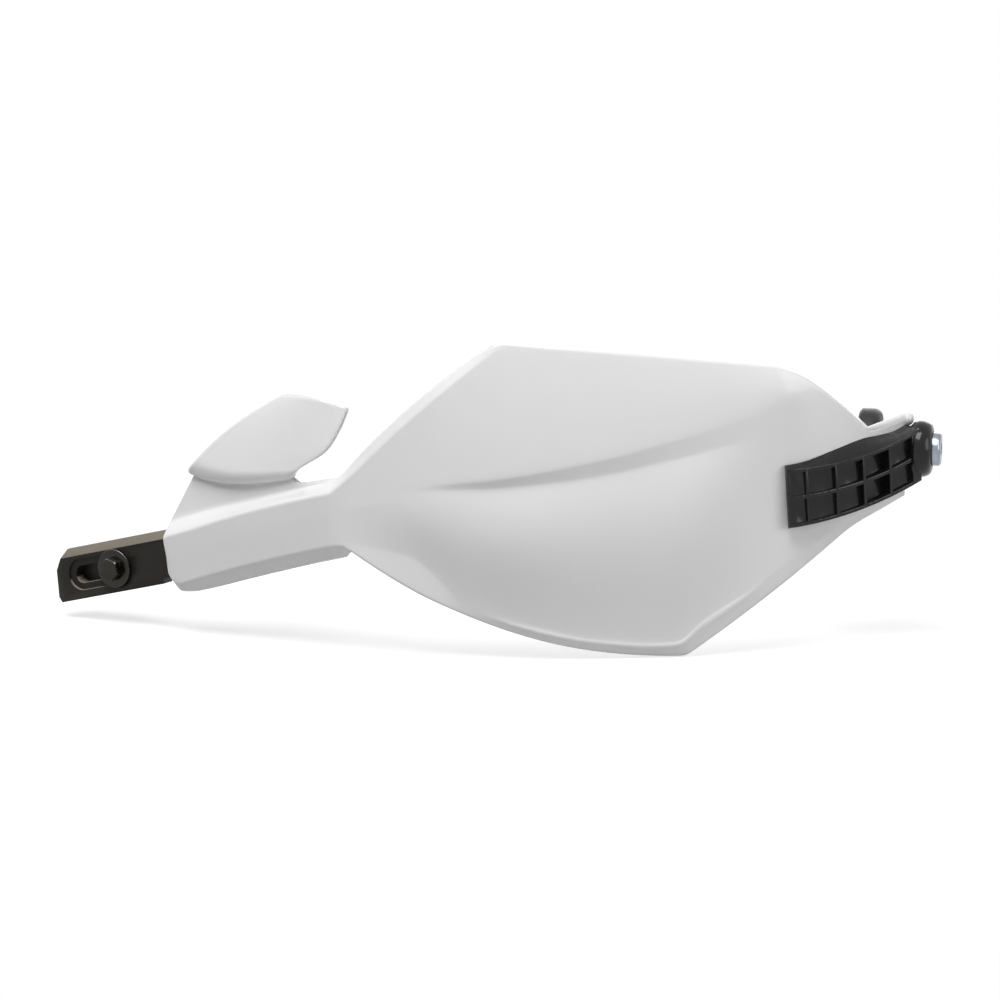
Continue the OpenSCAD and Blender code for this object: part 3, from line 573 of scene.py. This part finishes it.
TAB_SCREW_X, TAB_SCREWS, TAB_TURN = -14.5, (-8, -19), math.radians(38.5)
TAB_Y = Vector((-math.sin(TAB_TURN), math.cos(TAB_TURN), 0))
tab_spots = [Vector((TAB_SCREW_X, plan_y(TAB_SCREW_X), z)) for z in TAB_SCREWS]
pads = [round_bar(f"pad_{k}", p + TAB_Y * 1.5, TAB_Y, [(0, 7), (2.8, 7), (3.1, 6.7)])
    for k, p in enumerate(tab_spots)]
print(len(bosses), "bosses and", len(pads), "pads")

# %% [markdown]
# Moulded plastic is one body, so the pieces are fused with a Boolean modifier, and the same
# modifier then drills the bores. The result is kept as a plain mesh, so that nothing is left to
# be worked out later.

# %% Fuse and drill
SHARP_FROM = math.radians(38)


def fuse(base, tools, how):
    for tool in tools:
        step = base.modifiers.new(tool.name, "BOOLEAN")
        step.operation = how
        step.solver = "MANIFOLD"
        step.object = tool
    graph = bpy.context.evaluated_depsgraph_get()
    done = bpy.data.meshes.new_from_object(base.evaluated_get(graph))
    base.modifiers.clear()
    base.data = done
    for tool in tools:
        bpy.data.objects.remove(tool)


fuse(shield, [flange, deflector, roll, hub, *bosses, *pads], "UNION")
bores = [round_bar(f"insert_bore_{k}", ARM_AT + ARM_X * x + ARM_Y * 2, ARM_Y, [(0, 3.5), (7, 3.5)])
    for k, x in enumerate(ARM_SCREWS)]
bores += [round_bar(f"screw_bore_{k}", p - TAB_Y * 4, TAB_Y, [(0, 4.15), (20, 4.15)])
    for k, p in enumerate(tab_spots)]
bores += [round_bar(f"washer_seat_{k}", p + TAB_Y * 4.6, TAB_Y, [(0, 8), (8, 8)])
    for k, p in enumerate(tab_spots)]
bores.append(round_bar("bush_bore", (-1, 0, 0), BAR_AXIS, [(0, 6.15), (30, 6.15)], 72))
bores.append(round_bar("spacer_room", (0, 0, 0), BAR_AXIS, [(0, 9.5), (HUB_FROM, 9.5)], 72))
fuse(shield, bores, "DIFFERENCE")
shield.data.polygons.foreach_set("use_smooth", [True] * len(shield.data.polygons))
shield.data.set_sharp_from_angle(angle=SHARP_FROM)
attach(shield, "root")
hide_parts("hand_shield")
print("fused shield:", len(shield.data.polygons), "faces")

# %% [markdown]
# All other parts keep their CAD solids. On the six that show most, a small bevel on the sharp
# edges catches the light as real edges do. The imported mesh has its faces split apart, so a weld
# comes first, and the bevel touches only edges that turn more than 30 degrees.

# %% Broken edges on the CAD parts
WELD_WITHIN = 0.000005


def break_edges(name, width):
    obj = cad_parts[name]
    weld = obj.modifiers.new("weld", "WELD")
    weld.merge_threshold = WELD_WITHIN
    bevel = obj.modifiers.new("edge", "BEVEL")
    bevel.width = width * MM
    bevel.segments = 2
    bevel.limit_method = "ANGLE"
    bevel.angle_limit = math.radians(30)
    bevel.harden_normals = True
    bevel.use_clamp_overlap = True
    obj.data.polygons.foreach_set("use_smooth", [True] * len(obj.data.polygons))


EDGES = {"end_bracket": 0.35, "inner_bracket": 0.35, "slot_bolt": 0.2, "slot_washer_front": 0.2,
    "end_bolt": 0.2, "end_spacer": 0.25}
for name, width in EDGES.items():
    break_edges(name, width)
print("edges broken on", ", ".join(EDGES))

# %% [markdown]
# The next cells make the finishes. Effects that several finishes share are shader node groups:
# built once, with named inputs, and placed in each material with its own numbers. This helper
# keeps the wiring short.

# %% Node helpers
def new_group(name, inputs, outputs):
    group = bpy.data.node_groups.new(name, "ShaderNodeTree")
    for label, value in inputs.items():
        socket = group.interface.new_socket(name=label, in_out="INPUT", socket_type="NodeSocketFloat")
        socket.default_value = value
    for label in outputs:
        group.interface.new_socket(name=label, in_out="OUTPUT", socket_type="NodeSocketFloat")
    return group, group.nodes.new("NodeGroupInput"), group.nodes.new("NodeGroupOutput")


def math_node(tree, how, a, b=None, clamp=False):
    made = tree.nodes.new("ShaderNodeMath")
    made.operation = how
    made.use_clamp = clamp
    for socket, value in zip(made.inputs, (a, b)):
        if value is None:
            continue
        if isinstance(value, (int, float)):
            socket.default_value = value
        else:
            tree.links.new(value, socket)
    return made.outputs[0]


def noise_node(tree, scale, detail, stretch=(1, 1, 1), turn=(0, 0, 0)):
    place = tree.nodes.new("ShaderNodeTexCoord")
    mapping = tree.nodes.new("ShaderNodeMapping")
    mapping.inputs["Scale"].default_value = stretch
    mapping.inputs["Rotation"].default_value = turn
    noise = tree.nodes.new("ShaderNodeTexNoise")
    noise.inputs["Detail"].default_value = detail
    tree.links.new(place.outputs["Object"], mapping.inputs["Vector"])
    tree.links.new(mapping.outputs["Vector"], noise.inputs["Vector"])
    tree.links.new(scale, noise.inputs["Scale"])
    return noise.outputs["Fac"]


print("helpers ready")

# %% [markdown]
# Moulded plastic is never a perfect mirror. A fine grain from the mould's polish and a slow
# unevenness from shrinkage both show in its highlights. Both are noise, at two scales.

# %% Group: mould texture
texture, given, put = new_group("mould_texture", {"Grain Size": 900, "Wave Size": 30},
    ["Grain", "Wave"])
for label, size, detail in (("Grain", "Grain Size", 3), ("Wave", "Wave Size", 1)):
    texture.links.new(noise_node(texture, given.outputs[size], detail), put.inputs[label])
print("group made:", texture.name)

# %% [markdown]
# Handling leaves hair-fine scratches. The scratches are the crests of a noise stretched into long
# streaks. Edges and hollows come from the mesh's own pointiness, which is high on edges and low in
# hollows. The edge mask carries paler edges on some finishes, and painted highlight and painted shade
# on others. A top mask marks where a face looks up, for painted light on the faces that the lamp
# above strikes, and an input says how steeply up it has to look.

# %% Group: handling marks and painted light
STREAK, STREAK_TURN = (1, 40, 40), (0.2, 0.35, 0.6)
CREST_FROM, CREST_SHARP, TOP_LIGHT_SHARP = 0.62, 9, 8
FLAT_POINTINESS = 0.5
marks, given, put = new_group("handling_and_light_marks",
    {"Scratch Size": 30, "Edge Width": 0.06, "Top Light Start": 0.3},
    ["Scratches", "Edges", "Hollows", "Top Light"])
streaks = noise_node(marks, given.outputs["Scratch Size"], 2, STREAK, STREAK_TURN)
crests = math_node(marks, "MULTIPLY", math_node(marks, "SUBTRACT", streaks, CREST_FROM),
    CREST_SHARP, True)
marks.links.new(crests, put.inputs["Scratches"])
shape = marks.nodes.new("ShaderNodeNewGeometry")
above = math_node(marks, "SUBTRACT", shape.outputs["Pointiness"], FLAT_POINTINESS)
below = math_node(marks, "MULTIPLY", above, -1)
# The edge mask carries paler edges, and also painted highlight and painted shade, as each finish sets
# it.
for label, side in (("Edges", above), ("Hollows", below)):
    mask = math_node(marks, "DIVIDE", side, given.outputs["Edge Width"], True)
    marks.links.new(mask, put.inputs[label])
# Faces that look up get a mask for painted light: painted shade on the white shield, painted
# highlight on the black parts.
normal = marks.nodes.new("ShaderNodeSeparateXYZ")
marks.links.new(shape.outputs["Normal"], normal.inputs[0])
upward = math_node(marks, "SUBTRACT", normal.outputs["Z"], given.outputs["Top Light Start"])
marks.links.new(math_node(marks, "MULTIPLY", upward, TOP_LIGHT_SHARP, True), put.inputs["Top Light"])
print("group made:", marks.name)

# %% [markdown]
# Every finish starts the same way: a Principled shader and the two groups. The colour shifts slightly
# with the slow noise. The edge colour goes on edges, as paler edges on some finishes and as painted
# highlight and painted shade on others, and on faces that look up as painted light. The roughness
# wanders, rises in hollows and along scratches, and a fine bump comes from the grain. What differs is
# the numbers. A Mix node has sockets of one name for each kind of value, so its colour sockets go by
# number here.

# %% Finish maker
MIX_AMOUNT, MIX_A, MIX_B, MIX_COLOUR = 0, 6, 7, 2
WAVE_TINT = 0.06


def finish(name, colour, edge_colour, edge_rub_and_light, rough, spread, grain, grain_height, top_light=0,
        top_light_start=0.3, **fixed):
    material = bpy.data.materials.new(name)
    material.use_nodes = True
    tree = material.node_tree
    principled = tree.nodes["Principled BSDF"]
    for label, value in fixed.items():
        principled.inputs[label.replace("_", " ").title().replace("Ior", "IOR")].default_value = value
    face = tree.nodes.new("ShaderNodeGroup")
    face.node_tree = texture
    face.inputs["Grain Size"].default_value = grain
    marks_node = tree.nodes.new("ShaderNodeGroup")
    marks_node.node_tree = marks
    marks_node.inputs["Top Light Start"].default_value = top_light_start
    blend = tree.nodes.new("ShaderNodeMix")
    blend.data_type = "RGBA"
    blend.inputs[MIX_A].default_value = (*colour, 1)
    blend.inputs[MIX_B].default_value = (*edge_colour, 1)
    shift = math_node(tree, "MULTIPLY", face.outputs["Wave"], WAVE_TINT)
    # Edge colour on edges: paler edges on the spacer, zinc and brass, painted highlight on the black
    # parts, painted shade on the white shield.
    edge_tint = math_node(tree, "MULTIPLY", marks_node.outputs["Edges"], edge_rub_and_light)
    # Edge colour on faces that look up: painted shade on the white shield, painted highlight on the
    # black parts.
    top_tint = math_node(tree, "MULTIPLY", marks_node.outputs["Top Light"], top_light)
    amount = math_node(tree, "ADD", math_node(tree, "ADD", edge_tint, shift), top_tint, True)
    tree.links.new(amount, blend.inputs[MIX_AMOUNT])
    tree.links.new(blend.outputs[MIX_COLOUR], principled.inputs["Base Color"])
    wander = math_node(tree, "MULTIPLY", face.outputs["Wave"], spread)
    scuffed = math_node(tree, "MULTIPLY", marks_node.outputs["Scratches"], spread)
    matted = math_node(tree, "MULTIPLY", marks_node.outputs["Hollows"], spread)
    level = math_node(tree, "ADD", math_node(tree, "ADD", wander, scuffed),
        math_node(tree, "ADD", matted, rough - spread / 2))
    tree.links.new(level, principled.inputs["Roughness"])
    bump = tree.nodes.new("ShaderNodeBump")
    bump.inputs["Distance"].default_value = grain_height * MM
    tree.links.new(face.outputs["Grain"], bump.inputs["Height"])
    tree.links.new(bump.outputs["Normal"], principled.inputs["Normal"])
    return material


print("finish maker ready")

# %% [markdown]
# The shield is glossy white: a clear highlight over a soft white body, so a thin coat lies over a
# slightly rougher base, and painted shade greys its rims and the faces that look up a little. The
# ribbed bracket is black nylon with a polished skin and a painted highlight on its rib edges. The
# inner bracket is a duller black with a brown painted highlight on its upper faces, its bolt oiled
# dark steel with painted glints on its edges and upper faces, and the bar-end bolt zinc plated. These
# painted marks are readings of the photograph, and the numbers were set by comparing renders with it.

# %% Finishes
FINISH = {
    # The shield's grey edge colour is painted shade on its rims and on the faces that look up.
    "shell": finish("gloss_white_plastic", (0.76, 0.76, 0.762), (0.50, 0.50, 0.50),
        edge_rub_and_light=0.6, rough=0.30, spread=0.08, grain=420, grain_height=0.006,
        top_light=0.6, top_light_start=0.85, coat_weight=0.5, coat_roughness=0.1, ior=1.49,
        specular_ior_level=0.25),
    # The ribbed bracket's paler edge colour is a painted highlight on its rib edges.
    "ribbed": finish("grained_black_nylon", (0.003, 0.003, 0.003), (0.06, 0.055, 0.06),
        edge_rub_and_light=0.15, rough=0.26, spread=0.10, grain=1600, grain_height=0.02,
        coat_weight=0.35, coat_roughness=0.1, ior=1.5, specular_ior_level=0.1),
    # The inner bracket's brown edge colour is a painted highlight on its upper faces and edges.
    "bracket": finish("satin_black_coat", (0.002, 0.002, 0.002), (0.24, 0.21, 0.17),
        edge_rub_and_light=0.05, rough=0.34, spread=0.14, grain=1100, grain_height=0.02,
        top_light=0.7, ior=1.5, specular_ior_level=0.16),
    "spacer": finish("dark_grey_nylon", (0.016, 0.016, 0.016), (0.05, 0.05, 0.05),
        edge_rub_and_light=0.3, rough=0.45, spread=0.16, grain=1500, grain_height=0.04,
        ior=1.5, specular_ior_level=0.2),
    # The dark steel's pale edge colour is painted glints on its edges and upper faces.
    "dark_steel": finish("oiled_dark_steel", (0.010, 0.009, 0.008), (0.30, 0.28, 0.25),
        edge_rub_and_light=0.08, rough=0.26, spread=0.12, grain=1400, grain_height=0.01,
        top_light=0.4, metallic=0.9, specular_ior_level=0.2),
    "zinc": finish("bright_zinc_plate", (0.20, 0.23, 0.27), (0.50, 0.52, 0.56),
        edge_rub_and_light=0.4, rough=0.24, spread=0.14, grain=1200, grain_height=0.01, metallic=1.0),
    "brass": finish("plain_brass", (0.55, 0.38, 0.14), (0.75, 0.56, 0.27),
        edge_rub_and_light=0.7, rough=0.32, spread=0.14, grain=1200, grain_height=0.01, metallic=1.0),
}
print("finishes:", ", ".join(sorted(m.name for m in FINISH.values())))

# %% [markdown]
# Each part takes its finish by name. The fasteners inside the bar and behind the tab are zinc,
# the slot bolt and its washer are dark, and the inserts in the arm are brass.

# %% Dress the parts
WEARS = {"inner_bracket": "bracket", "slot_plate": "bracket", "end_bracket": "ribbed",
    "end_spacer": "spacer", "expander_sleeve": "spacer", "slot_bolt": "dark_steel",
    "slot_washer_front": "dark_steel", "arm_insert_1": "brass", "arm_insert_2": "brass"}
for name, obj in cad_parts.items():
    obj.data.materials.clear()
    obj.data.materials.append(FINISH[WEARS.get(name, "zinc")])
shield.data.materials.clear()
shield.data.materials.append(FINISH["shell"])
print("dressed", len(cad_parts), "parts and the shield")

# %% [markdown]
# A pale floor lies under the guard, and the backdrop is white. Near the guard the floor is lit by
# the lamps, so that it takes the guard's shadow, and a veil of its own light lifts it almost to
# white. Further out it turns, for the camera and for reflections only, into an even white that
# meets the white backdrop without a horizon.

# %% Floor
FLOOR_DROP, FLOOR_HALF = 0.0005, 8.0
FLOOR_GREY, FLOOR_ROUGH, VEIL = 0.42, 0.9, 0.7
GUARD_X, WHITE_FROM, WHITE_AT = -0.14, 0.2, 0.5


def seen_rays(tree):
    path = tree.nodes.new("ShaderNodeLightPath")
    direct = math_node(tree, "ADD", path.outputs["Is Camera Ray"], path.outputs["Is Glossy Ray"])
    return math_node(tree, "ADD", direct, path.outputs["Is Transmission Ray"], True)


floor_z = cad_box[0][2] - FLOOR_DROP
floor_mesh = bpy.data.meshes.new("floor")
floor_mesh.from_pydata([(x * FLOOR_HALF, y * FLOOR_HALF, floor_z)
    for x, y in ((-1, -1), (1, -1), (1, 1), (-1, 1))], [], [(0, 1, 2, 3)])
floor = bpy.data.objects.new("floor", floor_mesh)
scene.collection.objects.link(floor)
pale = bpy.data.materials.new("pale_floor")
pale.use_nodes = True
tree = pale.node_tree
paint = tree.nodes["Principled BSDF"]
paint.inputs["Base Color"].default_value = (FLOOR_GREY, FLOOR_GREY, FLOOR_GREY, 1)
paint.inputs["Roughness"].default_value = FLOOR_ROUGH
paint.inputs["Specular IOR Level"].default_value = 0
veil = tree.nodes.new("ShaderNodeEmission")
tree.links.new(math_node(tree, "MULTIPLY", seen_rays(tree), VEIL), veil.inputs["Strength"])
near = tree.nodes.new("ShaderNodeAddShader")
tree.links.new(paint.outputs[0], near.inputs[0])
tree.links.new(veil.outputs[0], near.inputs[1])
glow = tree.nodes.new("ShaderNodeEmission")
place = tree.nodes.new("ShaderNodeTexCoord")
away = tree.nodes.new("ShaderNodeVectorMath")
away.operation = "DISTANCE"
away.inputs[1].default_value = (GUARD_X, 0, floor_z)
tree.links.new(place.outputs["Object"], away.inputs[0])
far = tree.nodes.new("ShaderNodeMapRange")
far.interpolation_type = "SMOOTHSTEP"
far.inputs["From Min"].default_value = WHITE_FROM
far.inputs["From Max"].default_value = WHITE_AT
tree.links.new(away.outputs["Value"], far.inputs["Value"])
pick = tree.nodes.new("ShaderNodeMixShader")
share = math_node(tree, "MULTIPLY", far.outputs["Result"], seen_rays(tree))
tree.links.new(share, pick.inputs[0])
tree.links.new(near.outputs[0], pick.inputs[1])
tree.links.new(glow.outputs[0], pick.inputs[2])
tree.links.new(pick.outputs[0], tree.nodes["Material Output"].inputs["Surface"])
floor_mesh.materials.append(pale)
print("floor at", round(floor_z, 4))

# %% [markdown]
# The world is white where the camera or a reflection looks at it, and dim as a light, so that the
# soft boxes alone draw the shading. The same rays decide here as on the floor.

# %% World
WORLD_DIM = 0.09
world = bpy.data.worlds.new("studio")
scene.world = world
world.use_nodes = True
tree = world.node_tree
lifted = math_node(tree, "MULTIPLY", seen_rays(tree), 1 - WORLD_DIM)
tree.nodes["Background"].inputs["Color"].default_value = (1, 1, 1, 1)
tree.links.new(math_node(tree, "ADD", lifted, WORLD_DIM),
    tree.nodes["Background"].inputs["Strength"])
print("world strength as a light:", WORLD_DIM)

# %% [markdown]
# A large soft box hangs above and a little in front, so that faces turned up shine and faces
# turned down fall into soft shade. A weak box fills from the right, and another lights the back,
# which the photograph doesn't show. Their power was set by comparing renders with the photograph,
# so that the white plastic keeps its shading. A thin line on the upper rim still burns out.

# %% Soft boxes
AIM = Vector((-0.13, -0.04, -0.01))


def soft_box(name, at, size, power):
    light = bpy.data.lights.new(name, "AREA")
    light.shape = "RECTANGLE"
    light.size, light.size_y = size
    light.energy = power
    obj = bpy.data.objects.new(name, light)
    obj.location = at
    obj.rotation_euler = (AIM - Vector(at)).to_track_quat("-Z", "Y").to_euler()
    scene.collection.objects.link(obj)


soft_box("key_box", (-0.3, -0.56, 1.2), (1.0, 0.8), 22.5)
soft_box("fill_box", (1.15, -0.5, 0.4), (0.8, 0.8), 6.5)
soft_box("back_box", (-0.1, 1.4, 0.4), (1.0, 0.8), 6)

# %% [markdown]
# Colours are shown plainly, with no film look.

# %% Plain colours
scene.view_settings.view_transform = "Standard"
